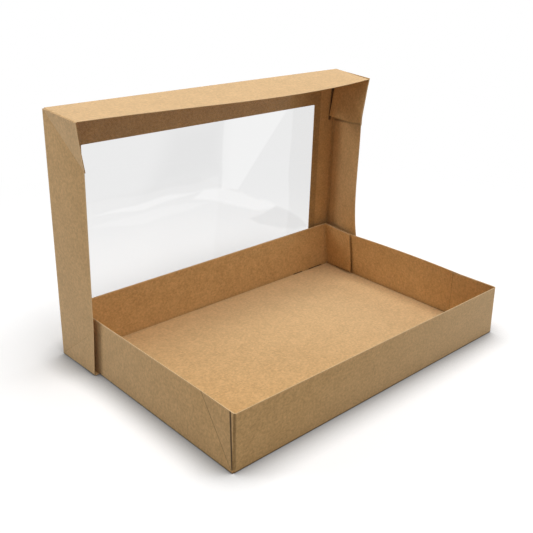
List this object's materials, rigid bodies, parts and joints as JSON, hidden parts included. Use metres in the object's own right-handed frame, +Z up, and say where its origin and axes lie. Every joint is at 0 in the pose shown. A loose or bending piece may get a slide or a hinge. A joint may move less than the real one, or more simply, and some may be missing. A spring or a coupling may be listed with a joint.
{
  "type": "cardboard tray box",
  "caption": "Shallow folded kraft board tray with sloping corner creases, its rear end slid into an upright telescoping lid that has a clear film window.",
  "frame": {"origin": "on the floor, under the centre of the bounding box of the tray and the standing lid", "axes": "+X along the long sides, +Y from the open front towards the standing lid, +Z up"},
  "size_m": [0.4662, 0.3096, 0.3005],
  "materials": {
    "tray_board": "matt brown kraft",
    "lid_board": "matt brown kraft",
    "clear_film": "clear glossy polyester film"
  },
  "bodies": {
    "tray": {"tray": "tray_board"},
    "lid": {"lid": "lid_board", "window_film": "clear_film"}
  },
  "joints": [
    {"name": "lid_slide", "type": "slide", "parent": "tray", "child": "lid", "axis": [0, 1, 0], "range_m": [-0.006, 0.075]}
  ]
}
